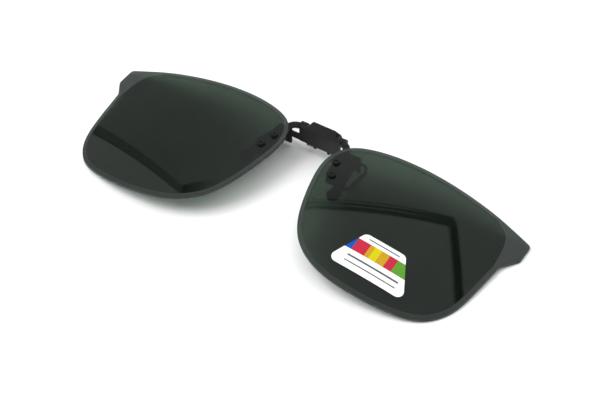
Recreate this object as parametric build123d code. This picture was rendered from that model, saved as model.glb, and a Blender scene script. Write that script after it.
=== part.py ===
"""Flip-up clip-on sunglasses, lying on their back as on a table.

Millimetres.  +X is towards the wearer's left-hand lens seen from the front, +Y is up on
the wearer's face, +Z is forwards, out of the front of the lenses.  The parts are laid out
from the front of the lens sphere above X = Y = 0, and `save` lifts them so that the
lowest points of the two lenses stand on Z = 0.
"""
import os
from math import sqrt

from build123d import *

# ---- lenses -------------------------------------------------------------------------
BASE_RADIUS = 265.0         # front sphere of both lenses, a base 2 curve
SPHERE_Y = 17.0             # height of the sphere's centre: how far the lenses lean
LENS_THICK = 1.1
HALF_WIDTH = 71.0           # half of the overall width, to the ear of one lens
# Right-hand lens, from the top edge round the nose side to the outer side.
RIM_POINTS = [
    (62.5, 22.4), (50.4, 24.3), (38.0, 25.0), (26.5, 24.3), (16.8, 22.1), (10.4, 18.3),
    (7.5, 11.5), (8.2, 2.3), (10.8, -7.6), (16.2, -17.8), (25.0, -23.3), (38.0, -25.0),
    (50.0, -23.8), (58.5, -20.5), (63.6, -14.0), (65.7, -5.9), (67.15, 6.0),
]
RIM_START_DIR = (-1.0, 0.23)
RIM_END_DIR = (0.13, 1.0)
EAR_NOTCH = (67.45, 8.6)    # inner corner under the ear
EAR_CHIN = (HALF_WIDTH, 13.9)
EAR_TOP = (HALF_WIDTH, 20.5)
EAR_RADII = (2.5, 1.8, 1.0)  # notch, chin, top

# ---- rivets that hold a lens to its bracket -------------------------------------------
RIVET_SPOTS = {"upper": (10.9, 11.4), "lower": (12.4, 6.4)}
RIVET_R = 0.6
LENS_HOLE_R = 0.85          # the nylon bush lines this hole
RIVET_HEAD_R = 1.15
RIVET_HEAD_H = 0.75
RIVET_DIMPLE_R = 0.35
RIVET_DIMPLE_DEEP = 0.3
RIVET_TAIL_R = 0.95
RIVET_TAIL_H = 0.4
RIVET_GAP = 0.06            # head and tail stand off the curved faces by this much
RIVET_CROWN = 0.45          # rounding of the head
RIVET_LAP = 0.1             # the shank runs into head and tail by this much

# ---- lens brackets ----------------------------------------------------------------------
SHEET = 0.8                 # bracket sheet, curved to lie on the back of the lens
PAD_OUTLINE = [(9.0, 14.6), (10.0, 7.0), (11.4, 4.5), (14.4, 4.7), (15.2, 8.6), (13.7, 13.2),
               (12.4, 17.6)]
PAD_CORNER_R = 0.6
ARCH_CENTRE = (7.5, 17.65)  # the arm swings round this point, in a quarter ring
ARCH_INNER_R = 1.5
ARCH_OUTER_R = 3.7
ARCH_ROOT = 0.15            # the ring runs past its centre by this much, into the knuckle
NECK_OUTLINE = [(9.0, 17.9), (11.2, 17.9), (12.35, 16.8), (12.8, 14.0), (9.1, 14.0)]
KNUCKLE_R = 1.4
KNUCKLE_IN = 5.6            # distance of the knuckle's ends from the middle
KNUCKLE_OUT = 7.9

# ---- flip hinge -----------------------------------------------------------------------
FLIP_Y = 21.7
FLIP_Z = -2.2
AXLE_R = 0.6
AXLE_CLEAR = 0.05
AXLE_HEAD_R = 0.65
AXLE_HEAD_W = 0.3
CAM_SIDE = 2.0
CAM_LONG = 6.0
WASHER_R = 1.2
WASHER_W = 0.3
WASHER_GAP = 0.05
LEAF_THICK = 0.2
LEAF_WIDE = 1.8
LEAF_HALF = 4.5
LEAF_END_Z = -4.0           # underside of the leaf at its two ends

# ---- housing --------------------------------------------------------------------------
WALL = 0.5
WALL_OUT = 5.2              # outer face of the two end walls
FRONT_Y = 19.5              # the face turned towards the nose
FRONT_HALF = 7.2            # half length of that face
ROOF_LOW = (19.5, -0.8)     # roof's profile, (Y, Z)
ROOF_RIDGE = (22.5, 0.6)
ROOF_BACK = (24.1, -2.2)
ROOF_FOOT_Z = -5.6          # lower edge of the back wall
WING_Y = 20.6               # the roof is full length up to here, then WALL_OUT
BEVEL_FROM = (3.75, 0.7)    # slanted cut at the ridge's ends, (X, Z)
BEVEL_TO = (5.3, -1.4)
ROOF_INNER = [(23.6, -2.4), (22.45, 0.0)]   # inside of the roof, below the back and the ridge
LEDGE_IN = 3.9              # inner end of the ledges that carry the leaf spring
LEDGE_Z = -4.0

# ---- claws ------------------------------------------------------------------------------
FRONT_WALL_Z = -6.4         # lower edge of the front wall
ARM_HIGH = -3.9
ARM_LOW = -6.2
TAB_IN = 10.0
TAB_OUT = 14.3
TAB_HIGH = -3.2
TAB_LOW = -9.2
TAB_CORNER_R = 0.5
CLAW_SHEET = 0.7
CLAW_OUTLINE = [(10.7, 19.5), (14.3, 19.5), (16.6, 3.6), (13.9, 3.6)]
TIP_CENTRE = (15.2, 2.5)
TIP_R = 1.8
TIP_THICK = 1.7
TIP_TOP_Y = 4.6
TIP_COLLAR = 3.4            # width of the cap where it meets the claw
TIP_ROUND = 0.3
JAW_Y = 21.7
JAW_Z = -7.5
JAW_REST = 8.3              # the springs hold the loops up by this angle, in degrees
LUG_R = 1.3
WIRE_R = 0.45
WIRE_CLEAR = 0.05
LOOP_OUT = 16.8             # centre line of the loop's outer and inner legs
LOOP_IN = 11.6
LOOP_BEND_X = 15.3
LOOP_SHOULDER_Y = 18.4
LOOP_LOW_Y = 7.8
LOOP_END_Y = 16.4
LOOP_RADII = (2.2, 2.0, 2.2, 2.2)
SLEEVE_R = 0.68
SLEEVE_END_Y = 15.7
SLEEVE_START_Y = 17.2
HUB_R = 0.95
HUB_HALF = 2.6
HUB_FLANGE_R = 1.45         # the flanges at the hub's ends hold the springs' tangs
HUB_FLANGE_W = 0.4
COIL_R = 1.12               # mean radius of the torsion springs
COIL_WIRE_R = 0.18
COIL_IN = 2.95
COIL_PITCH = 0.42
COIL_TURNS = 3.5
COIL_LEG = 2.6              # the outer leg, up the inside of the front wall
TANG_LONG = 0.7             # the inner end, bent along the axle into the hub's flange
TANG_CLEAR = 0.03
ELBOW_R = 0.19              # ball that joins the tang to the coil

# ---- label ------------------------------------------------------------------------------
LABEL_THICK = 0.1
LABEL_OUTLINE = [(31.9, -6.2), (44.9, -6.2), (51.6, -19.1), (26.4, -19.1)]
LABEL_CORNER_R = 1.8

DEEP = 15.0                 # deeper than anything that is cut through

SIDES = {"right": 1, "left": -1}    # +X lens is "right" as seen from the front


def sphere(offset):
    """Ball whose surface lies `offset` behind the front of the lenses."""
    centre_z = -sqrt(BASE_RADIUS**2 - SPHERE_Y**2)
    return Pos(0, SPHERE_Y, centre_z) * Sphere(BASE_RADIUS - offset)


def surface_z(x, y, offset=0.0):
    """Height of the lens sphere, `offset` behind its front, above the point (x, y)."""
    radius = BASE_RADIUS - offset
    return sqrt(radius**2 - x**2 - (y - SPHERE_Y)**2) - sqrt(BASE_RADIUS**2 - SPHERE_Y**2)


def curved_sheet(face, front, back):
    """The part of the upright prism on `face` between two depths behind the lens front."""
    prism = Pos(0, 0, -DEEP) * extrude(face, 2 * DEEP)
    return (prism & sphere(front)) - sphere(back)


def mirrored(shape, sign):
    """The shape itself, or its mirror image on the other side of the nose."""
    return shape if sign > 0 else mirror(shape, Plane.YZ)


def along_x(radius, x_from, x_to, y, z):
    """Round bar along X."""
    bar = Cylinder(radius, x_to - x_from, rotation=(0, 90, 0))
    return Pos((x_from + x_to) / 2, y, z) * bar


def along_z(radius, x, y, z_from, z_to):
    """Round bar along Z."""
    return Pos(x, y, (z_from + z_to) / 2) * Cylinder(radius, z_to - z_from)


def block(x_range, y_range, z_range):
    """Box between the given limits."""
    size = [high - low for low, high in (x_range, y_range, z_range)]
    middle = [(low + high) / 2 for low, high in (x_range, y_range, z_range)]
    return Pos(*middle) * Box(*size)


def rounded_polygon(points, radius):
    """Flat face on a closed polygon, with one radius on its corners."""
    face = make_face(Polyline(*points, close=True))
    return fillet(face.vertices(), radius)


def yz_prism(points, x_from, x_to):
    """Polygon of (Y, Z) points, drawn out along X."""
    flat = make_face(Polyline(*[(x_from, y, z) for y, z in points], close=True))
    return extrude(flat, x_to - x_from, dir=(1, 0, 0))


# ---- lens group -------------------------------------------------------------------------
def lens_face():
    """Outline of the right-hand lens: a smooth rim, and the ear at its upper corner."""
    rim = Spline(*RIM_POINTS, tangents=[RIM_START_DIR, RIM_END_DIR])
    ear = FilletPolyline(RIM_POINTS[-1], EAR_NOTCH, EAR_CHIN, EAR_TOP, RIM_POINTS[0],
                         radius=list(EAR_RADII))
    return make_face([rim, ear])


def lens(sign):
    """One lens, with the two holes for its rivets."""
    body = curved_sheet(lens_face(), 0, LENS_THICK)
    for x, y in RIVET_SPOTS.values():
        body -= along_z(LENS_HOLE_R, x, y, -DEEP, DEEP)
    return mirrored(body, sign)


def rivet_bushes(sign):
    """Nylon bushes that line the two lens holes, so that the rivets don't crack them."""
    bushes = []
    for x, y in RIVET_SPOTS.values():
        ring = Circle(LENS_HOLE_R) - Circle(RIVET_R)
        bushes.append(curved_sheet(Pos(x, y) * ring, 0, LENS_THICK))
    return mirrored(Compound(children=bushes), sign)


def rivet(sign, spot):
    """Round-headed rivet, dimpled in front and clenched behind the bracket."""
    x, y = RIVET_SPOTS[spot]
    seat = surface_z(x, y) + RIVET_GAP
    tail = surface_z(x, y, LENS_THICK + SHEET) - RIVET_GAP
    head = along_z(RIVET_HEAD_R, x, y, seat, seat + RIVET_HEAD_H)
    top_rim = head.edges().sort_by(Axis.Z)[-1]
    head = fillet(top_rim, RIVET_CROWN)
    crown = seat + RIVET_HEAD_H
    head -= along_z(RIVET_DIMPLE_R, x, y, crown - RIVET_DIMPLE_DEEP, crown + 1)
    shank = along_z(RIVET_R, x, y, tail - RIVET_LAP, seat + RIVET_LAP)
    clench = along_z(RIVET_TAIL_R, x, y, tail - RIVET_TAIL_H, tail)
    return mirrored(head + shank + clench, sign)


def lens_bracket(sign):
    """Pad behind the lens, the arched arm round its corner, and the hinge knuckle."""
    pad = rounded_polygon(PAD_OUTLINE, PAD_CORNER_R)
    ring = Pos(*ARCH_CENTRE) * (Circle(ARCH_OUTER_R) - Circle(ARCH_INNER_R))
    quarter = Rectangle(ARCH_OUTER_R + ARCH_ROOT, ARCH_OUTER_R, align=(Align.MIN, Align.MIN))
    arch = ring & Pos(ARCH_CENTRE[0] - ARCH_ROOT, ARCH_CENTRE[1]) * quarter
    neck = make_face(Polyline(*NECK_OUTLINE, close=True))
    body = curved_sheet(pad + neck + arch, LENS_THICK, LENS_THICK + SHEET)
    body += along_x(KNUCKLE_R, KNUCKLE_IN, KNUCKLE_OUT, FLIP_Y, FLIP_Z)
    body -= along_x(AXLE_R, KNUCKLE_IN - 1, KNUCKLE_OUT + 1, FLIP_Y, FLIP_Z)
    for x, y in RIVET_SPOTS.values():
        body -= along_z(RIVET_R, x, y, -DEEP, DEEP)
    return mirrored(body, sign)


def label():
    """Thin sticker on the right-hand lens."""
    return curved_sheet(rounded_polygon(LABEL_OUTLINE, LABEL_CORNER_R), -LABEL_THICK, 0)


# ---- flip hinge ----------------------------------------------------------------------
def flip_axle():
    """Axle through both knuckles and the housing, headed at its two ends."""
    body = along_x(AXLE_R, -KNUCKLE_OUT, KNUCKLE_OUT, FLIP_Y, FLIP_Z)
    for sign in SIDES.values():
        head = along_x(AXLE_HEAD_R, KNUCKLE_OUT, KNUCKLE_OUT + AXLE_HEAD_W, FLIP_Y, FLIP_Z)
        body += mirrored(head, sign)
    return body


def detent_cam():
    """Square cam pressed on the axle: its flats hold the lenses down or up."""
    half = CAM_SIDE / 2
    cam = block((-CAM_LONG / 2, CAM_LONG / 2), (FLIP_Y - half, FLIP_Y + half),
                (FLIP_Z - half, FLIP_Z + half))
    return cam - along_x(AXLE_R, -CAM_LONG, CAM_LONG, FLIP_Y, FLIP_Z)


def axle_washer(sign):
    """Washer between an end wall of the housing and a knuckle."""
    start = WALL_OUT + WASHER_GAP
    ring = along_x(WASHER_R, start, start + WASHER_W, FLIP_Y, FLIP_Z)
    ring -= along_x(AXLE_R, start - 1, start + 1, FLIP_Y, FLIP_Z)
    return mirrored(ring, sign)


def detent_spring():
    """Bowed leaf that presses on the flat of the cam from below."""
    crown = FLIP_Z - CAM_SIDE / 2 - LEAF_THICK
    lower = ThreePointArc((-LEAF_HALF, FLIP_Y, LEAF_END_Z), (0, FLIP_Y, crown),
                          (LEAF_HALF, FLIP_Y, LEAF_END_Z))
    lift = (0, 0, LEAF_THICK)
    upper = lower.moved(Location(lift))
    ends = [Line(lower @ 0, upper @ 0), Line(lower @ 1, upper @ 1)]
    section = make_face([lower, upper] + ends)
    return extrude(section, LEAF_WIDE / 2, dir=(0, 1, 0), both=True)


# ---- clamp -----------------------------------------------------------------------------
def hinge_housing():
    """Folded roof and back wall, with two end walls that carry both axles."""
    low, ridge, back = ROOF_LOW, ROOF_RIDGE, ROOF_BACK
    outer = [low, ridge, back, (back[0], ROOF_FOOT_Z)]
    inner = [(back[0] - WALL, ROOF_FOOT_Z), *ROOF_INNER, (low[0], low[1] - WALL)]
    shell = yz_prism(outer + inner, -FRONT_HALF, FRONT_HALF)
    wings = block((WALL_OUT, FRONT_HALF + 1), (WING_Y, WING_Y + DEEP), (-DEEP, DEEP))
    shell -= wings
    shell -= mirror(wings, Plane.YZ)
    inside = [(low[0] + WALL, low[1] - WALL), (ridge[0], ridge[1] - WALL),
              (back[0] - WALL / 2, back[1]), (back[0] - WALL / 2, ROOF_FOOT_Z),
              (JAW_Y + LUG_R, JAW_Z), (JAW_Y - LUG_R, JAW_Z), (low[0] + WALL, FRONT_WALL_Z)]
    for sign in SIDES.values():
        end_wall = yz_prism(inside, WALL_OUT - WALL, WALL_OUT)
        end_wall += along_x(LUG_R, WALL_OUT - WALL, WALL_OUT, JAW_Y, JAW_Z)
        ledge = block((LEDGE_IN, WALL_OUT - WALL / 2),
                      (FLIP_Y - LEAF_WIDE / 2, FLIP_Y + LEAF_WIDE / 2),
                      (LEDGE_Z - WALL, LEDGE_Z))
        shell += mirrored(end_wall, sign)
        shell += mirrored(ledge, sign)
        bevel = make_face(Polyline((BEVEL_FROM[0], WING_Y, BEVEL_FROM[1]),
                                   (BEVEL_TO[0], WING_Y, BEVEL_TO[1]),
                                   (BEVEL_TO[0] + 1, WING_Y, BEVEL_TO[1]),
                                   (BEVEL_TO[0] + 1, WING_Y, DEEP),
                                   (BEVEL_FROM[0], WING_Y, DEEP), close=True))
        shell -= mirrored(extrude(bevel, DEEP, dir=(0, 1, 0)), sign)
    reach = WALL_OUT + 1
    shell -= along_x(AXLE_R + AXLE_CLEAR, -reach, reach, FLIP_Y, FLIP_Z)
    shell -= along_x(WIRE_R + WIRE_CLEAR, -reach, reach, JAW_Y, JAW_Z)
    return shell


def claw_frame():
    """Front wall of the housing, with the arms, the stop tabs and the front claws."""
    body = block((-FRONT_HALF, FRONT_HALF), (FRONT_Y, FRONT_Y + WALL),
                 (FRONT_WALL_Z, ROOF_LOW[1] - WALL))
    for sign in SIDES.values():
        arm = block((FRONT_HALF - 1, TAB_IN + 1), (FRONT_Y, FRONT_Y + WALL), (ARM_LOW, ARM_HIGH))
        tab = block((TAB_IN, TAB_OUT), (FRONT_Y, FRONT_Y + WALL), (TAB_LOW, TAB_HIGH))
        low_edges = tab.edges().filter_by(Axis.Y).group_by(Axis.Z)[0]
        tab = fillet(low_edges, TAB_CORNER_R)
        flat = make_face(Polyline(*CLAW_OUTLINE, close=True))
        claw = Pos(0, 0, TAB_HIGH - CLAW_SHEET) * extrude(flat, CLAW_SHEET)
        body += mirrored(arm + tab + claw, sign)
    return body


def front_claw_tip(sign):
    """Soft cap pushed over the end of a front claw."""
    middle_z = TAB_HIGH - CLAW_SHEET / 2
    x, y = TIP_CENTRE
    bulb = Pos(x, y) * Circle(TIP_R)
    collar = Pos(x, (y + TIP_TOP_Y) / 2) * Rectangle(TIP_COLLAR, TIP_TOP_Y - y)
    cap = Pos(0, 0, middle_z - TIP_THICK / 2) * extrude(bulb + collar, TIP_THICK)
    rims = cap.faces().sort_by(Axis.Z)[0].edges() + cap.faces().sort_by(Axis.Z)[-1].edges()
    cap = fillet(rims, TIP_ROUND)
    flat = make_face(Polyline(*CLAW_OUTLINE, close=True))
    claw = Pos(0, 0, TAB_HIGH - CLAW_SHEET) * extrude(flat, CLAW_SHEET)
    return mirrored(cap - claw, sign)


def loop_path(start_x, end_y):
    """Route of a rear claw: out along the jaw's axis, down, and back round in a loop."""
    return FilletPolyline((start_x, JAW_Y, JAW_Z), (LOOP_BEND_X, JAW_Y, JAW_Z),
                          (LOOP_OUT, LOOP_SHOULDER_Y, JAW_Z), (LOOP_OUT, LOOP_LOW_Y, JAW_Z),
                          (LOOP_IN, LOOP_LOW_Y, JAW_Z), (LOOP_IN, end_y, JAW_Z),
                          radius=list(LOOP_RADII))


def at_rest(shape):
    """Swings a loop up about the jaw's axis, as far as the springs hold it at rest."""
    return shape.rotate(Axis((0, JAW_Y, JAW_Z), (1, 0, 0)), -JAW_REST)


def rear_claw_wire(sign):
    """Spring-steel wire that is both the jaw's axle and one rear claw."""
    path = loop_path(0.05, LOOP_END_Y)
    section = Plane(origin=path @ 0, z_dir=path % 0) * Circle(WIRE_R)
    return mirrored(at_rest(sweep(section, path=path)), sign)


def rear_claw_sleeve(sign):
    """Rubber tube over the loop of a rear claw, from its shoulder to near its end."""
    path = FilletPolyline((LOOP_OUT, SLEEVE_START_Y, JAW_Z), (LOOP_OUT, LOOP_LOW_Y, JAW_Z),
                          (LOOP_IN, LOOP_LOW_Y, JAW_Z), (LOOP_IN, SLEEVE_END_Y, JAW_Z),
                          radius=list(LOOP_RADII[2:]))
    ring = Plane(origin=path @ 0, z_dir=path % 0) * (Circle(SLEEVE_R) - Circle(WIRE_R))
    return mirrored(at_rest(sweep(ring, path=path)), sign)


def jaw_hub():
    """Sleeve that joins the two claw wires, flanged where the torsion springs take hold."""
    reach = HUB_HALF + 1
    body = along_x(HUB_R, -HUB_HALF, HUB_HALF, JAW_Y, JAW_Z)
    for sign in SIDES.values():
        flange = along_x(HUB_FLANGE_R, HUB_HALF - HUB_FLANGE_W, HUB_HALF, JAW_Y, JAW_Z)
        body += mirrored(flange, sign)
    body -= along_x(COIL_WIRE_R + TANG_CLEAR, -reach, reach, JAW_Y + COIL_R, JAW_Z)
    return body - along_x(WIRE_R, -reach, reach, JAW_Y, JAW_Z)


def torsion_spring(sign):
    """Coil round the jaw's axle, held by the hub inside and the front wall outside."""
    length = COIL_PITCH * COIL_TURNS
    helix = Helix(COIL_PITCH, length, COIL_R, lefthand=True)
    section = Plane(origin=helix @ 0, z_dir=helix % 0) * Circle(COIL_WIRE_R)
    coil = sweep(section, path=helix, is_frenet=True)
    elbow = Pos(*(helix @ 0)) * Sphere(ELBOW_R)
    tang = along_z(COIL_WIRE_R, COIL_R, 0, -TANG_LONG, 0)
    leg = Cylinder(COIL_WIRE_R, COIL_LEG, rotation=(90, 0, 0))
    leg = Pos(-COIL_R, COIL_LEG / 2, length) * leg
    across = Plane(origin=(COIL_IN, JAW_Y, JAW_Z), x_dir=(0, 1, 0), z_dir=(1, 0, 0))
    return mirrored(across * (coil + elbow + tang + leg), sign)


def build():
    """All sub-parts by name, in the layout frame."""
    parts = {
        "hinge_housing": hinge_housing(),
        "claw_frame": claw_frame(),
        "flip_axle": flip_axle(),
        "detent_cam": detent_cam(),
        "detent_spring": detent_spring(),
        "jaw_hub": jaw_hub(),
        "colour_label": label(),
    }
    for side, sign in SIDES.items():
        parts["lens_" + side] = lens(sign)
        parts["lens_bracket_" + side] = lens_bracket(sign)
        parts["rivet_bushes_" + side] = rivet_bushes(sign)
        for spot in RIVET_SPOTS:
            parts["rivet_" + spot + "_" + side] = rivet(sign, spot)
        parts["axle_washer_" + side] = axle_washer(sign)
        parts["front_claw_tip_" + side] = front_claw_tip(sign)
        parts["rear_claw_wire_" + side] = rear_claw_wire(sign)
        parts["rear_claw_sleeve_" + side] = rear_claw_sleeve(sign)
        parts["torsion_spring_" + side] = torsion_spring(sign)
    return parts


def save(parts):
    """Stand the lenses on Z = 0 and write one STEP per sub-part."""
    os.makedirs("parts", exist_ok=True)
    lift = -parts["lens_right"].bounding_box().min.Z
    print("lift", round(lift, 3))
    for name, shape in parts.items():
        export_step(Pos(0, 0, lift) * shape, "parts/" + name + ".step")


save(build())
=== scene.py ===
"""Looks of the flip-up clip-on sunglasses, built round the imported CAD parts.

Metres, in the CAD frame: +X towards one lens, +Y up on the wearer's face, +Z out of the
front of the lenses, and the table at Z = 0.  Lengths written with `* MM` are millimetres.
"""

import math

import bmesh
import bpy
import numpy as np
from mathutils import Matrix, Vector


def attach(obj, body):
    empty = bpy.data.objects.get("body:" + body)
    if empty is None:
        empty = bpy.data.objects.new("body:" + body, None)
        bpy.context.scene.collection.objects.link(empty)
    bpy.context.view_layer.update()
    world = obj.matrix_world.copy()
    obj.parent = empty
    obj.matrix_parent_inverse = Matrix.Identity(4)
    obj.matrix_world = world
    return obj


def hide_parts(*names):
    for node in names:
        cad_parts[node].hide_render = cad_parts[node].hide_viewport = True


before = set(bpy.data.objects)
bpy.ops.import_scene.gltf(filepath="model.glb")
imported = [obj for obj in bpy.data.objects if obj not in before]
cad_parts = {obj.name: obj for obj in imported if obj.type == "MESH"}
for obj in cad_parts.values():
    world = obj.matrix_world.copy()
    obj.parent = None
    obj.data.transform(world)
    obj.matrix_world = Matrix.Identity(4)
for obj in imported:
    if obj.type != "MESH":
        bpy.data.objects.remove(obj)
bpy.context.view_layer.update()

MM = 0.001
SIDES = {"right": 1, "left": -1}

# ---- shape of a lens, as in the CAD part (mm) ------------------------------------------
BASE_RADIUS = 265.0
SPHERE_Y = 17.0
LENS_THICK = 1.1
RIM_POINTS = [
    (62.5, 22.4), (50.4, 24.3), (38.0, 25.0), (26.5, 24.3), (16.8, 22.1), (10.4, 18.3),
    (7.5, 11.5), (8.2, 2.3), (10.8, -7.6), (16.2, -17.8), (25.0, -23.3), (38.0, -25.0),
    (50.0, -23.8), (58.5, -20.5), (63.6, -14.0), (65.7, -5.9), (67.15, 6.0),
]
RIM_START_DIR = (-1.0, 0.23)
RIM_END_DIR = (0.13, 1.0)
EAR_POINTS = [(67.45, 8.6), (71.0, 13.9), (71.0, 20.5)]
EAR_RADII = (2.5, 1.8, 1.0)
LENS_MIDDLE = (37.0, 1.0)
LIFT = 10.299               # height of the sphere's front above the table
RIVET_SPOTS = [(10.9, 11.4), (12.4, 6.4)]
RIVET_HOLE_R = 0.85

# ---- finer features of a lens, beyond the CAD part (mm) ---------------------------------
BORDER = 1.25               # width of the matt band round the polished middle
BORDER_CORNER = [(65.8, 9.0), (65.45, 12.5), (64.6, 16.6), (62.9, 19.4), (60.6, 20.9)]
BORDER_DROP = 0.10          # the band falls away by this much towards the edge
EDGE_ROUND = 0.16
RIM_STEPS, EAR_STEPS = 300, 72
BAND_LEAVES_X = 59.5        # beyond this X, and above this Y, the band's inner edge no
BAND_LEAVES_Y = 6.2         # longer follows the rim but cuts the corner under the ear
POLISHED_RINGS = [*np.linspace(0.04, 0.97, 25), 0.997, 1.0]    # rings of faces, from the middle
BAND_RINGS = (0.03, 0.2, 0.4, 0.6, 0.8, 1.0)


def clamped_spline(points, start_dir, end_dir, steps=24):
    """Smooth curve through the points, with the directions given at its two ends."""
    p = np.array(points, float)
    h = np.linalg.norm(np.diff(p, axis=0), axis=1)
    n = len(p)
    matrix, side = np.zeros((n, n)), np.zeros((n, 2))
    matrix[0, 0] = matrix[-1, -1] = 1.0
    side[0] = np.array(start_dir) / np.linalg.norm(start_dir)
    side[-1] = np.array(end_dir) / np.linalg.norm(end_dir)
    for i in range(1, n - 1):
        before, after = h[i - 1], h[i]
        matrix[i, i - 1:i + 2] = after, 2 * (before + after), before
        side[i] = 3 * (after * (p[i] - p[i - 1]) / before + before * (p[i + 1] - p[i]) / after)
    slope = np.linalg.solve(matrix, side)
    t = np.linspace(0, 1, steps, endpoint=False)[:, None]
    runs = []
    for i in range(n - 1):
        places = (2 * t**3 - 3 * t**2 + 1) * p[i] + (3 * t**2 - 2 * t**3) * p[i + 1]
        pulls = (t**3 - 2 * t**2 + t) * slope[i] + (t**3 - t**2) * slope[i + 1]
        runs.append(places + h[i] * pulls)
    return np.vstack(runs + [p[-1:]])


def rounded_path(points, radii, steps=14):
    """Straight runs between the points, with an arc of its own radius at each inner one."""
    p = np.array(points, float)
    made = [p[:1]]
    for corner, before, after, radius in zip(p[1:-1], p[:-2], p[2:], radii):
        u = (before - corner) / np.linalg.norm(before - corner)
        w = (after - corner) / np.linalg.norm(after - corner)
        half = math.acos(float(u @ w)) / 2
        centre = corner + (u + w) / np.linalg.norm(u + w) * radius / math.sin(half)
        a = corner + u * radius / math.tan(half) - centre
        b = corner + w * radius / math.tan(half) - centre
        sweep = math.acos(float(a @ b) / radius**2)
        t = np.linspace(0, 1, steps)[:, None]
        arc = (np.sin((1 - t) * sweep) * a + np.sin(t * sweep) * b) / math.sin(sweep)
        made.append(centre + arc)
    made.append(p[-1:])
    return np.vstack(made)


def evenly(path, count, closed=False):
    """`count` points at even steps along a path; a closed path doesn't repeat its first."""
    if closed:
        path = np.vstack([path, path[:1]])
    run = np.r_[0, np.cumsum(np.linalg.norm(np.diff(path, axis=0), axis=1))]
    at = np.linspace(0, run[-1], count, endpoint=not closed)
    return np.column_stack([np.interp(at, run, path[:, k]) for k in (0, 1)])


def inward(loop):
    """Unit normals that point into a closed loop which runs anticlockwise."""
    ahead = np.roll(loop, -1, axis=0) - np.roll(loop, 1, axis=0)
    normal = np.column_stack([-ahead[:, 1], ahead[:, 0]])
    return normal / np.linalg.norm(normal, axis=1)[:, None]


def surface(xy, depth):
    """Points in metres, `depth` mm behind the front of the lens above each (x, y)."""
    xy = np.asarray(xy, float)
    radius = BASE_RADIUS - np.broadcast_to(depth, len(xy))
    z = np.sqrt(radius**2 - xy[:, 0]**2 - (xy[:, 1] - SPHERE_Y)**2)
    z -= math.sqrt(BASE_RADIUS**2 - SPHERE_Y**2) - LIFT
    return np.column_stack([xy, z]) * MM


# ---- meshes ------------------------------------------------------------------------------
def mesh_object(name, verts, faces, materials, indices=None, smooth=True):
    """New object in the scene; `indices` gives each face its material."""
    mesh = bpy.data.meshes.new(name)
    mesh.from_pydata([tuple(v) for v in verts], [], [tuple(f) for f in faces])
    for m in materials:
        mesh.materials.append(m)
    if indices is not None:
        mesh.polygons.foreach_set("material_index", indices)
    mesh.polygons.foreach_set("use_smooth", [smooth] * len(mesh.polygons))
    mesh.update()
    obj = bpy.data.objects.new(name, mesh)
    bpy.context.scene.collection.objects.link(obj)
    return obj


def shell_of_rows(rows, kinds):
    """Faces of a closed shell: rows of equal length, fanned together at the first and last."""
    count = len(rows[0])
    verts = np.vstack(rows + [rows[0].mean(0)[None], rows[-1].mean(0)[None]])
    top, bottom = len(rows) * count, len(rows) * count + 1
    faces, indices = [], []
    for i in range(count):
        j = (i + 1) % count
        faces.append((top, i, j))
        indices.append(kinds[0])
        for k in range(len(rows) - 1):
            a, b = k * count, (k + 1) * count
            faces.append((a + i, b + i, b + j, a + j))
            indices.append(kinds[k])
        last = (len(rows) - 1) * count
        faces.append((bottom, last + j, last + i))
        indices.append(kinds[-1])
    return verts, faces, indices


def lens_loops():
    """Outer edge of the lens and the edge of its polished middle, point for point."""
    rim = clamped_spline(RIM_POINTS, RIM_START_DIR, RIM_END_DIR)
    ear = rounded_path([RIM_POINTS[-1]] + EAR_POINTS + [RIM_POINTS[0]], EAR_RADII)
    rim_even = evenly(rim, RIM_STEPS)
    ear_even = evenly(ear, EAR_STEPS)
    outer = np.vstack([rim_even, ear_even[1:-1]])
    inner = rim_even + BORDER * inward(outer)[:len(rim_even)]
    keep = (inner[:, 0] < BAND_LEAVES_X) | (inner[:, 1] < BAND_LEAVES_Y)
    kept = np.flatnonzero(keep)
    first, last = kept[0], kept[-1]
    start_dir = inner[last] - inner[last - 1]
    end_dir = inner[first + 1] - inner[first]
    corner = clamped_spline([inner[last]] + BORDER_CORNER + [inner[first]], start_dir, end_dir)
    round_ear = len(outer) - (last - first + 1)
    inner_corner = evenly(corner, round_ear + 2)[1:-1]
    tail = len(outer) - 1 - last
    middle = np.vstack([inner_corner[tail:], inner[first:last + 1], inner_corner[:tail]])
    return outer, middle


def lens_piece(side, materials):
    """One lens: polished middle, matt band and ear, rounded edge, and two rivet holes."""
    outer, middle = lens_loops()
    normal = inward(outer)
    centre = np.array(LENS_MIDDLE)
    edge = outer + EDGE_ROUND * normal
    rows, kinds = [], []

    def add(xy, depth, kind):
        rows.append(surface(xy, depth))
        kinds.append(kind)

    for t in POLISHED_RINGS:
        add(centre + t * (middle - centre), 0.0, 0)
    kinds[-1] = 1
    for s in BAND_RINGS:
        add(middle + s * (edge - middle), BORDER_DROP * s, 1)
    for turn in np.radians((30, 60, 90)):
        add(edge - EDGE_ROUND * math.sin(turn) * normal,
            BORDER_DROP + EDGE_ROUND * (1 - math.cos(turn)), 1)
    kinds[-1] = 2
    for turn in np.radians((90, 60, 30, 0)):
        add(edge - EDGE_ROUND * math.sin(turn) * normal,
            LENS_THICK - EDGE_ROUND * (1 - math.cos(turn)), 2)
    kinds[-1] = 1
    add(edge + 0.5 * (middle - edge), LENS_THICK, 1)
    for t in POLISHED_RINGS[::-1]:
        add(centre + t * (middle - centre), LENS_THICK, 0)
    verts, faces, indices = shell_of_rows(rows, kinds)
    if SIDES[side] < 0:
        verts[:, 0] *= -1
        faces = [f[::-1] for f in faces]
    lens = mesh_object("tinted_lens_" + side, verts, faces, materials, indices)
    drill(lens, side)
    return lens


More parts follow.
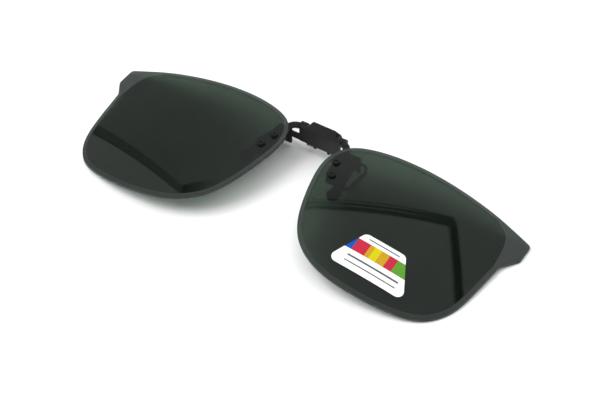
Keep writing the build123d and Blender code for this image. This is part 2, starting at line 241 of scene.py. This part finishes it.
def drill(lens, side):
    """Cuts the two rivet holes through a lens."""
    cutter_mesh = bmesh.new()
    for x, y in RIVET_SPOTS:
        made = bmesh.ops.create_cone(cutter_mesh, cap_ends=True, segments=40, depth=6 * MM,
                                     radius1=RIVET_HOLE_R * MM, radius2=RIVET_HOLE_R * MM)
        spot = Vector((SIDES[side] * x * MM, y * MM, LIFT * MM))
        bmesh.ops.translate(cutter_mesh, vec=spot, verts=made["verts"])
    mesh = bpy.data.meshes.new("cutter")
    cutter_mesh.to_mesh(mesh)
    cutter = bpy.data.objects.new("cutter", mesh)
    bpy.context.scene.collection.objects.link(cutter)
    cut = lens.modifiers.new("holes", "BOOLEAN")
    cut.operation, cut.solver, cut.object = "DIFFERENCE", "EXACT", cutter
    bpy.context.view_layer.update()
    drilled = lens.evaluated_get(bpy.context.evaluated_depsgraph_get())
    made = bpy.data.meshes.new_from_object(drilled)
    lens.modifiers.clear()
    lens.data = made
    bpy.data.objects.remove(cutter)


# ---- materials ---------------------------------------------------------------------------
class Paint:
    """Short calls for building one node material round a Principled shader."""

    def __init__(self, name, color, roughness, **fixed):
        self.material = bpy.data.materials.new(name)
        self.material.use_nodes = True
        self.tree = self.material.node_tree
        self.shader = self.tree.nodes["Principled BSDF"]
        self.output = self.tree.nodes["Material Output"]
        self.shader.inputs["Base Color"].default_value = (*color, 1)
        self.shader.inputs["Roughness"].default_value = roughness
        for socket, value in fixed.items():
            self.shader.inputs[socket.replace("_", " ")].default_value = value
        self.place = self.node("ShaderNodeTexCoord").outputs["Object"]

    def node(self, kind, **settings):
        made = self.tree.nodes.new(kind)
        for key, value in settings.items():
            setattr(made, key, value)
        return made

    def link(self, out, into):
        self.tree.links.new(out, into)

    def stretched(self, scale):
        """Object coordinates multiplied by a scale for each axis."""
        made = self.node("ShaderNodeMapping")
        made.inputs["Scale"].default_value = scale
        self.link(self.place, made.inputs["Vector"])
        return made.outputs["Vector"]

    def noise(self, size, detail=3.0, vector=None):
        """Noise between 0 and 1 whose blobs are about `size` mm across."""
        made = self.node("ShaderNodeTexNoise")
        made.inputs["Scale"].default_value = 1 / (size * MM)
        made.inputs["Detail"].default_value = detail
        self.link(vector or self.place, made.inputs["Vector"])
        return made.outputs["Fac"]

    def remap(self, value, low, high, to_low, to_high):
        """A value's span from low to high, moved to another span and held within it."""
        made = self.node("ShaderNodeMapRange")
        self.link(value, made.inputs["Value"])
        for name, number in (("From Min", low), ("From Max", high),
                             ("To Min", to_low), ("To Max", to_high)):
            made.inputs[name].default_value = number
        return made.outputs["Result"]

    def math(self, operation, a, b):
        """Arithmetic on two values, each a number or a socket."""
        made = self.node("ShaderNodeMath", operation=operation)
        for socket, value in zip(made.inputs, (a, b)):
            if isinstance(value, (int, float)):
                socket.default_value = value
            else:
                self.link(value, socket)
        return made.outputs["Value"]

    def mix(self, factor, first, second):
        """Colour between two, each a colour or a socket."""
        made = self.node("ShaderNodeMix", data_type="RGBA")
        self.link(factor, made.inputs["Factor"])
        for index, value in ((6, first), (7, second)):
            if isinstance(value, tuple):
                made.inputs[index].default_value = (*value, 1)
            else:
                self.link(value, made.inputs[index])
        return made.outputs[2]

    def color(self, socket):
        self.link(socket, self.shader.inputs["Base Color"])

    def roughness(self, socket):
        self.link(socket, self.shader.inputs["Roughness"])

    def bump(self, height, depth, strength=1.0):
        """Raises the surface by `depth` mm where height is 1."""
        made = self.node("ShaderNodeBump")
        made.inputs["Distance"].default_value = depth * MM
        made.inputs["Strength"].default_value = strength
        self.link(height, made.inputs["Height"])
        self.link(made.outputs["Normal"], self.shader.inputs["Normal"])

    def see_through(self, cover, tint):
        """Lets light straight through where the shader's cover, from 0 to 1, leaves room."""
        clear = self.node("ShaderNodeBsdfTransparent")
        clear.inputs["Color"].default_value = (*tint, 1)
        both = self.node("ShaderNodeMixShader")
        both.inputs["Fac"].default_value = cover
        self.link(clear.outputs["BSDF"], both.inputs[1])
        self.link(self.shader.outputs["BSDF"], both.inputs[2])
        self.link(both.outputs["Shader"], self.output.inputs["Surface"])

    def edges(self, radius):
        """1 on edges that the given radius in mm would round, 0 on flat places."""
        soft = self.node("ShaderNodeBevel", samples=4)
        soft.inputs["Radius"].default_value = radius * MM
        flat = self.node("ShaderNodeNewGeometry").outputs["Normal"]
        dot = self.node("ShaderNodeVectorMath", operation="DOT_PRODUCT")
        self.link(soft.outputs["Normal"], dot.inputs[0])
        self.link(flat, dot.inputs[1])
        return self.remap(dot.outputs["Value"], 0.98, 0.80, 0.0, 1.0)


def satin_paint(name, color, worn, roughness=0.4, grain=0.25):
    """Sprayed black paint: fine orange peel, faint mottling, and paler rubbed edges."""
    paint = Paint(name, color, roughness, Specular_IOR_Level=0.3)
    mottled = paint.mix(paint.noise(1.8), tuple(c * 0.8 for c in color),
                        tuple(c * 1.25 for c in color))
    rubbed = paint.math("MULTIPLY", paint.edges(0.12), paint.noise(0.7, 5))
    paint.color(paint.mix(rubbed, mottled, worn))
    paint.roughness(paint.remap(paint.noise(0.9, 4), 0.3, 0.7, roughness - 0.07, roughness + 0.10))
    paint.bump(paint.noise(grain, 2), 0.012)
    return paint.material


def drawn_metal(name, color, roughness, along):
    """Burnished steel with fine drawing lines along one axis."""
    paint = Paint(name, color, roughness, Metallic=1.0)
    scale = [1.0, 1.0, 1.0]
    scale["XYZ".index(along)] = 0.06
    lines = paint.noise(0.12, 3, paint.stretched(scale))
    paint.color(paint.mix(lines, tuple(c * 0.75 for c in color), tuple(c * 1.2 for c in color)))
    paint.roughness(paint.remap(lines, 0.3, 0.7, roughness - 0.08, roughness + 0.12))
    paint.bump(lines, 0.006)
    return paint.material


def soft_rubber(name, color):
    """Dull rubber with a fine moulded grain and a little pale bloom."""
    paint = Paint(name, color, 0.62, Sheen_Weight=0.15, Sheen_Roughness=0.5)
    bloom = paint.remap(paint.noise(1.4, 4), 0.45, 0.75, 0.0, 0.6)
    paint.color(paint.mix(bloom, color, tuple(c * 2.0 for c in color)))
    paint.roughness(paint.remap(paint.noise(0.5, 3), 0.3, 0.7, 0.55, 0.72))
    paint.bump(paint.noise(0.16, 2), 0.010)
    return paint.material


def moulded_nylon(name, color):
    """Half-matt nylon, slightly cloudy, with a trace of mould grain."""
    paint = Paint(name, color, 0.38, Subsurface_Weight=0.1, Subsurface_Scale=0.3 * MM)
    paint.color(paint.mix(paint.noise(0.8, 3), tuple(c * 0.8 for c in color),
                          tuple(c * 1.3 for c in color)))
    paint.roughness(paint.remap(paint.noise(0.4, 3), 0.3, 0.7, 0.30, 0.46))
    paint.bump(paint.noise(0.12, 2), 0.004)
    return paint.material


def polished_tint():
    """Dark green-grey lens, glossy in front and faintly see-through, with light smudges."""
    paint = Paint("lens_polished_tint", (0.0045, 0.0062, 0.0055), 0.004, IOR=1.7)
    smudge = paint.remap(paint.noise(14, 4), 0.50, 0.75, 0.0, 1.0)
    paint.roughness(paint.remap(smudge, 0, 1, 0.002, 0.008))
    specks = paint.node("ShaderNodeTexVoronoi")
    specks.inputs["Scale"].default_value = 1 / (7 * MM)
    paint.link(paint.place, specks.inputs["Vector"])
    dust = paint.remap(specks.outputs["Distance"], 0.014, 0.030, 1.0, 0.0)
    haze = paint.mix(smudge, (0.0040, 0.0056, 0.0048), (0.0062, 0.0078, 0.0068))
    paint.color(paint.mix(dust, haze, (0.035, 0.045, 0.035)))
    paint.see_through(0.78, (0.76, 0.98, 0.80))
    return paint.material


def ground_band(name, color, roughness):
    """Matt ground edge of the lens, with the fine cloudy grain of grinding, and painted shade low
    down.
    """
    paint = Paint(name, color, roughness)
    cloud = paint.noise(3.0, 5)
    split = paint.node("ShaderNodeSeparateXYZ")
    paint.link(paint.place, split.inputs["Vector"])
    # Painted shade: the band's colour is graded darker towards the bottom of the lens and lighter
    # towards the top.
    painted_shade_grade = paint.remap(split.outputs["Y"], -23 * MM, 10 * MM, 0, 1)
    low, high = (paint.mix(cloud, tuple(c * shade * 0.86 for c in color),
                           tuple(c * shade * 1.14 for c in color)) for shade in (0.75, 1.15))
    paint.color(paint.mix(painted_shade_grade, low, high))
    paint.roughness(paint.remap(paint.noise(0.5, 4), 0.3, 0.7, roughness - 0.06, roughness + 0.08))
    paint.bump(paint.noise(0.10, 2), 0.005)
    paint.see_through(0.84, (0.76, 0.98, 0.80))
    return paint.material


BLACK = (0.0085, 0.0085, 0.0092)
looks = {
    "lens": [polished_tint(), ground_band("lens_ground_band", (0.030, 0.034, 0.034), 0.5),
             ground_band("lens_edge", (0.012, 0.014, 0.014), 0.4)],
    "steel_paint": satin_paint("black_steel_paint", BLACK, (0.03, 0.03, 0.03), 0.46),
    "wire_paint": satin_paint("black_wire_paint", BLACK, (0.03, 0.03, 0.03), 0.42),
    "rivet_paint": satin_paint("black_rivet_paint", (0.007, 0.007, 0.0075),
                               (0.04, 0.04, 0.04), 0.36),
    "axle": drawn_metal("burnished_axle", (0.22, 0.22, 0.23), 0.32, "X"),
    "spring": drawn_metal("spring_steel", (0.28, 0.28, 0.29), 0.34, "Y"),
    "rubber": soft_rubber("black_rubber", (0.014, 0.014, 0.0145)),
    "nylon": moulded_nylon("black_nylon", (0.04, 0.04, 0.041)),
}
NODE_LOOKS = {
    "hinge_housing": "steel_paint", "claw_frame": "steel_paint", "lens_bracket": "steel_paint",
    "rear_claw_wire": "wire_paint", "jaw_hub": "steel_paint", "rivet_upper": "rivet_paint",
    "rivet_lower": "rivet_paint", "flip_axle": "axle", "detent_spring": "spring",
    "torsion_spring": "spring", "front_claw_tip": "rubber", "rear_claw_sleeve": "rubber",
    "rivet_bushes": "nylon", "axle_washer": "nylon", "detent_cam": "nylon",
}
for name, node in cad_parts.items():
    for start, look in NODE_LOOKS.items():
        if name.startswith(start):
            node.data.materials.clear()
            node.data.materials.append(looks[look])


SHARP = math.radians(35)     # edges that turn by more than this are rounded
SAME_POINT = 1e-7           # metres


def soften(name, width):
    """Rounds the sharp edges of a sheet-metal CAD part over `width` mm."""
    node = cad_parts[name]
    weld = node.modifiers.new("weld", "WELD")
    weld.merge_threshold = SAME_POINT
    bevel = node.modifiers.new("edges", "BEVEL")
    bevel.width, bevel.segments = width * MM, 2
    bevel.limit_method, bevel.angle_limit = "ANGLE", SHARP
    bevel.use_clamp_overlap = False
    bevel.harden_normals = True


# ---- lenses --------------------------------------------------------------------------------
for side in SIDES:
    lens = lens_piece(side, looks["lens"])
    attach(lens, "lens_carrier")
    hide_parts("lens_" + side)

# ---- label ---------------------------------------------------------------------------------
LABEL_OUTLINE = [(31.9, -6.2), (44.9, -6.2), (51.6, -19.1), (26.4, -19.1)]
LABEL_CORNER_R = 1.8
LABEL_THICK = 0.1
LABEL_GAP = 0.012           # the film's glue line
BAND_TOP, BAND_FOOT = -8.75, -13.2
STRIPES = [
    (27.0, (0.000, 0.078, 0.360)), (31.0, (0.440, 0.018, 0.045)), (35.0, (0.480, 0.270, 0.012)),
    (36.4, (0.540, 0.470, 0.002)), (38.6, (0.480, 0.270, 0.012)), (41.2, (0.440, 0.018, 0.045)),
    (43.9, (0.090, 0.260, 0.028)),
]
RULES = [(-7.5, 0.42, 33.6, 43.6), (-15.1, 0.62, 31.0, 47.5),    # y, width, and from x to x
         (-17.0, 0.42, 31.0, 47.5)]
STRIPES_FROM, STRIPES_TO = 24.0, 52.0       # the span that the stripes' colour ramp covers
FILM_RINGS = np.linspace(0.08, 0.97, 12)


def label_print():
    """Printed film: white, with a band of plain upright colour stripes and three rules."""
    white, ink = (0.86, 0.86, 0.85), (0.10, 0.10, 0.11)
    paint = Paint("label_print", white, 0.4, Specular_IOR_Level=0.02)
    split = paint.node("ShaderNodeSeparateXYZ")
    paint.link(paint.place, split.inputs["Vector"])
    x, y = split.outputs["X"], split.outputs["Y"]

    def between(value, low, high):
        above = paint.math("GREATER_THAN", value, low * MM)
        below = paint.math("LESS_THAN", value, high * MM)
        return paint.math("MULTIPLY", above, below)

    shown = paint.mix(paint.noise(2.5, 3), (0.83, 0.83, 0.82), (0.88, 0.88, 0.87))
    stripes = paint.node("ShaderNodeValToRGB")
    along = paint.remap(x, STRIPES_FROM * MM, STRIPES_TO * MM, 0, 1)
    paint.link(along, stripes.inputs["Fac"])
    ramp = stripes.color_ramp
    ramp.interpolation = "CONSTANT"
    for index, (start, color) in enumerate(STRIPES):
        at = (start - STRIPES_FROM) / (STRIPES_TO - STRIPES_FROM)
        stop = ramp.elements[index] if index < 2 else ramp.elements.new(at)
        stop.position, stop.color = at, (*color, 1)
    dots = paint.remap(paint.noise(0.22, 2), 0.35, 0.65, 0.0, 0.015)
    inked = paint.mix(dots, stripes.outputs["Color"], white)
    shown = paint.mix(between(y, BAND_FOOT, BAND_TOP), shown, inked)
    for at, width, start, end in RULES:
        line = paint.math("MULTIPLY", between(y, at - width / 2, at + width / 2),
                          between(x, start, end))
        shown = paint.mix(line, shown, ink)
    paint.color(shown)
    paint.roughness(paint.remap(paint.noise(1.2, 3), 0.3, 0.7, 0.27, 0.38))
    paint.bump(paint.noise(0.8, 2), 0.003)
    return paint.material


def label_piece():
    """The sticker: a thin film laid on the curve of the lens, with round corners."""
    corners = [LABEL_OUTLINE[k % 4] for k in range(6)]
    outline = rounded_path(corners, [LABEL_CORNER_R] * 4, 16)[1:-1]
    outline = evenly(outline, 160, closed=True)[::-1]
    centre = outline.mean(0)
    normal = inward(outline)
    rows, kinds = [], []
    for t in FILM_RINGS:
        rows.append(surface(centre + t * (outline - centre), -LABEL_THICK))
    rows.append(surface(outline + 0.03 * normal, -LABEL_THICK))
    rows.append(surface(outline + 0.008 * normal, -LABEL_THICK + 0.01))
    rows.append(surface(outline, -LABEL_THICK + 0.03))
    rows.append(surface(outline, -LABEL_GAP))
    for t in FILM_RINGS[::-1]:
        rows.append(surface(centre + t * (outline - centre), -LABEL_GAP))
    verts, faces, indices = shell_of_rows(rows, [0] * len(rows))
    return mesh_object("striped_label", verts, faces, [label_print()], indices)


label = label_piece()
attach(label, "lens_carrier")
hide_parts("colour_label")

soften("hinge_housing", 0.11)
for name in ("claw_frame", "lens_bracket_right", "lens_bracket_left"):
    soften(name, 0.06)

# ---- studio --------------------------------------------------------------------------------
scene = bpy.context.scene
scene.view_settings.view_transform = "Standard"


def times(tree, socket, factor):
    """Product of a socket and a factor, which is a number or another socket."""
    made = tree.nodes.new("ShaderNodeMath")
    made.operation = "MULTIPLY"
    tree.links.new(socket, made.inputs[0])
    if isinstance(factor, float):
        made.inputs[1].default_value = factor
    else:
        tree.links.new(factor, made.inputs[1])
    return made.outputs["Value"]


def panel(name, origin, across, down, span, fades, strength):
    """A flat studio panel, seen only as a reflection.

    It lies on the axes `across` and `down` from `origin`, from span[0] to span[1] metres
    across and span[2] to span[3] down, and fades[k] is how far its light takes to come up
    from each of those four edges.
    """
    made = bpy.data.materials.new(name)
    made.use_nodes = True
    tree = made.node_tree
    tree.nodes.clear()
    light = tree.nodes.new("ShaderNodeEmission")
    light.inputs["Color"].default_value = (0.96, 1.0, 0.99, 1)
    out = tree.nodes.new("ShaderNodeOutputMaterial")
    tree.links.new(light.outputs["Emission"], out.inputs["Surface"])
    place = tree.nodes.new("ShaderNodeTexCoord")
    split = tree.nodes.new("ShaderNodeSeparateXYZ")
    tree.links.new(place.outputs["Object"], split.inputs["Vector"])
    level = None
    for k, fade in enumerate(fades):
        if not fade:
            continue
        rise = tree.nodes.new("ShaderNodeMapRange")
        rise.interpolation_type = "SMOOTHSTEP"
        tree.links.new(split.outputs["X" if k < 2 else "Y"], rise.inputs["Value"])
        rise.inputs["From Min"].default_value = span[k]
        rise.inputs["From Max"].default_value = span[k] + (fade if k % 2 == 0 else -fade)
        level = rise.outputs["Result"] if level is None else times(tree, level,
                                                                   rise.outputs["Result"])
    if level is None:
        light.inputs["Strength"].default_value = strength
    else:
        tree.links.new(times(tree, level, strength), light.inputs["Strength"])
    corners = [(span[0], span[2], 0), (span[1], span[2], 0), (span[1], span[3], 0),
               (span[0], span[3], 0)]
    sheet = mesh_object(name, corners, [(0, 1, 2, 3)], [made], smooth=False)
    across, down = Vector(across).normalized(), Vector(down).normalized()
    turn = Matrix((across, down, across.cross(down))).transposed().to_4x4()
    sheet.matrix_world = Matrix.Translation(origin) @ turn
    sheet.visible_shadow = False
    sheet.visible_camera = False
    sheet.visible_diffuse = False
    return sheet


# The overhead panels are square to the camera and meet at one corner.
TURN = math.radians(31.4)
ALONG = (math.cos(TURN), math.sin(TURN), 0)
NEAR = (math.sin(TURN), -math.cos(TURN), 0)
CORNER = (0.048, 0.770, 1.0)
CORNER_ABOVE = (0.048, 0.770, 1.001)
NO_FADE = (0, 0, 0, 0)
OVERHEAD = [        # name, corner, span along and near in metres, fades, strength
    ("panel_over", CORNER, (-1.3, -0.014, 0.026, 0.95), (0, 0.02, 0.012, 0), 0.42),
    ("panel_over_right", CORNER, (0.0, 0.9, 0.0, 0.95), (0.012, 0, 0, 0), 0.40),
    ("rail_far", CORNER, (-1.3, -0.02, -0.018, -0.009), (0, 0.15, 0.002, 0.002), 0.30),
    ("rail_near", CORNER, (-1.3, -0.02, 0.003, 0.011), (0, 0.15, 0.002, 0.002), 0.26),
    ("shade_over", CORNER, (-0.868, -0.70, -0.182, -0.03), (0.17, 0, 0, 0), 0.42),
    ("flag_over", CORNER_ABOVE, (-1.3, 0.0, -0.024, 0.029), NO_FADE, 0.02),
    ("flag_gap", CORNER_ABOVE, (-0.03, 0.03, 0.0, 0.95), NO_FADE, 0.0),
]
for name, corner, span, fades, strength in OVERHEAD:
    panel(name, corner, ALONG, NEAR, span, fades, strength)

# To the left stand a lit wall and, in front of its edge, a narrow dark upright that leans.
WALL_DISTANCE = 1.6


def bearing(azimuth, elevation, distance=WALL_DISTANCE):
    """Point seen from the object at a bearing from +Y towards -X, in degrees."""
    turn, lift = math.radians(azimuth), math.radians(elevation)
    return Vector((-distance * math.sin(turn), distance * math.cos(turn),
                   distance * math.tan(lift)))


lean = bearing(58.2, 50) - bearing(61.6, 26)
foot = bearing(61.6, 26) - 0.6 * lean
sideways = Vector((-math.cos(math.radians(60)), -math.sin(math.radians(60)), 0))
sideways -= lean * (sideways @ lean) / (lean @ lean)
panel("flag_left", foot, sideways, lean, (-0.006, 0.034, 0.0, 3.0), NO_FADE, 0.12)
panel("wall_left", foot, sideways, lean, (0.034, 1.6, 0.0, 3.0), (0.012, 0, 0, 0), 0.46)

# The room behind them: its level against the height of a direction, and weaker to the left.
world = bpy.data.worlds.new("studio")
scene.world = world
world.use_nodes = True
wt = world.node_tree
direction = wt.nodes.new("ShaderNodeTexCoord")
split = wt.nodes.new("ShaderNodeSeparateXYZ")
wt.links.new(direction.outputs["Generated"], split.inputs["Vector"])
ramp = wt.nodes.new("ShaderNodeValToRGB")
wt.links.new(split.outputs["Z"], ramp.inputs["Fac"])
LEVELS = [(0.0, 0.50), (0.42, 0.50), (0.58, 0.44), (0.766, 0.42), (0.81, 0.32), (0.86, 0.15)]
for index, (at, level) in enumerate(LEVELS):
    stop = ramp.color_ramp.elements[index] if index < 2 else ramp.color_ramp.elements.new(at)
    stop.position, stop.color = at, (level * 0.97, level, level, 1)
side_fall = wt.nodes.new("ShaderNodeMapRange")
wt.links.new(split.outputs["X"], side_fall.inputs["Value"])
for socket, value in (("From Min", -0.62), ("From Max", -0.36),
                      ("To Min", 0.60), ("To Max", 1.0)):
    side_fall.inputs[socket].default_value = value
wt.links.new(ramp.outputs["Color"], wt.nodes["Background"].inputs["Color"])
wt.links.new(side_fall.outputs["Result"], wt.nodes["Background"].inputs["Strength"])


def lamp(name, place, size, watts):
    """Round soft lamp aimed at the object; it lights but isn't mirrored in the lenses."""
    data = bpy.data.lights.new(name, "AREA")
    data.shape, data.size, data.energy = "DISK", size, watts
    made = bpy.data.objects.new(name, data)
    made.location = place
    made.rotation_mode = "QUATERNION"
    made.rotation_quaternion = (-Vector(place)).to_track_quat("-Z", "Y")
    made.visible_glossy = False
    scene.collection.objects.link(made)
    return made


lamp("key", (-0.72, -0.50, 1.1), 1.2, 18)
lamp("fill", (0.15, 0.35, 1.3), 2.2, 19)

floor_paint = Paint("pale_table", (0.86, 0.86, 0.855), 0.7)
floor_paint.color(floor_paint.mix(floor_paint.noise(60, 3), (0.85, 0.85, 0.845),
                                  (0.87, 0.87, 0.865)))
floor_paint.bump(floor_paint.noise(0.8, 3), 0.01)
HALF_FLOOR = 3.0
floor = mesh_object("table", [(-HALF_FLOOR, -HALF_FLOOR, 0), (HALF_FLOOR, -HALF_FLOOR, 0),
                              (HALF_FLOOR, HALF_FLOOR, 0), (-HALF_FLOOR, HALF_FLOOR, 0)],
                    [(0, 1, 2, 3)], [floor_paint.material], smooth=False)

# ---- camera --------------------------------------------------------------------------------
AZIMUTH, ELEVATION = math.radians(32.56), math.radians(45.52)
TARGET = Vector((9.91, -7.15, 10.3)) * MM
DISTANCE = 484.07 * MM
away = Vector((math.sin(AZIMUTH) * math.cos(ELEVATION),
               -math.cos(AZIMUTH) * math.cos(ELEVATION), math.sin(ELEVATION)))
camera = bpy.data.objects.new("camera", bpy.data.cameras.new("camera"))
camera.data.lens, camera.data.sensor_width = 101.4, 36.0        # millimetres
camera.data.clip_start, camera.data.clip_end = 0.01, 20.0
camera.location = TARGET + away * DISTANCE
camera.rotation_mode = "QUATERNION"
camera.rotation_quaternion = away.to_track_quat("Z", "Y")
scene.collection.objects.link(camera)
scene.camera = camera
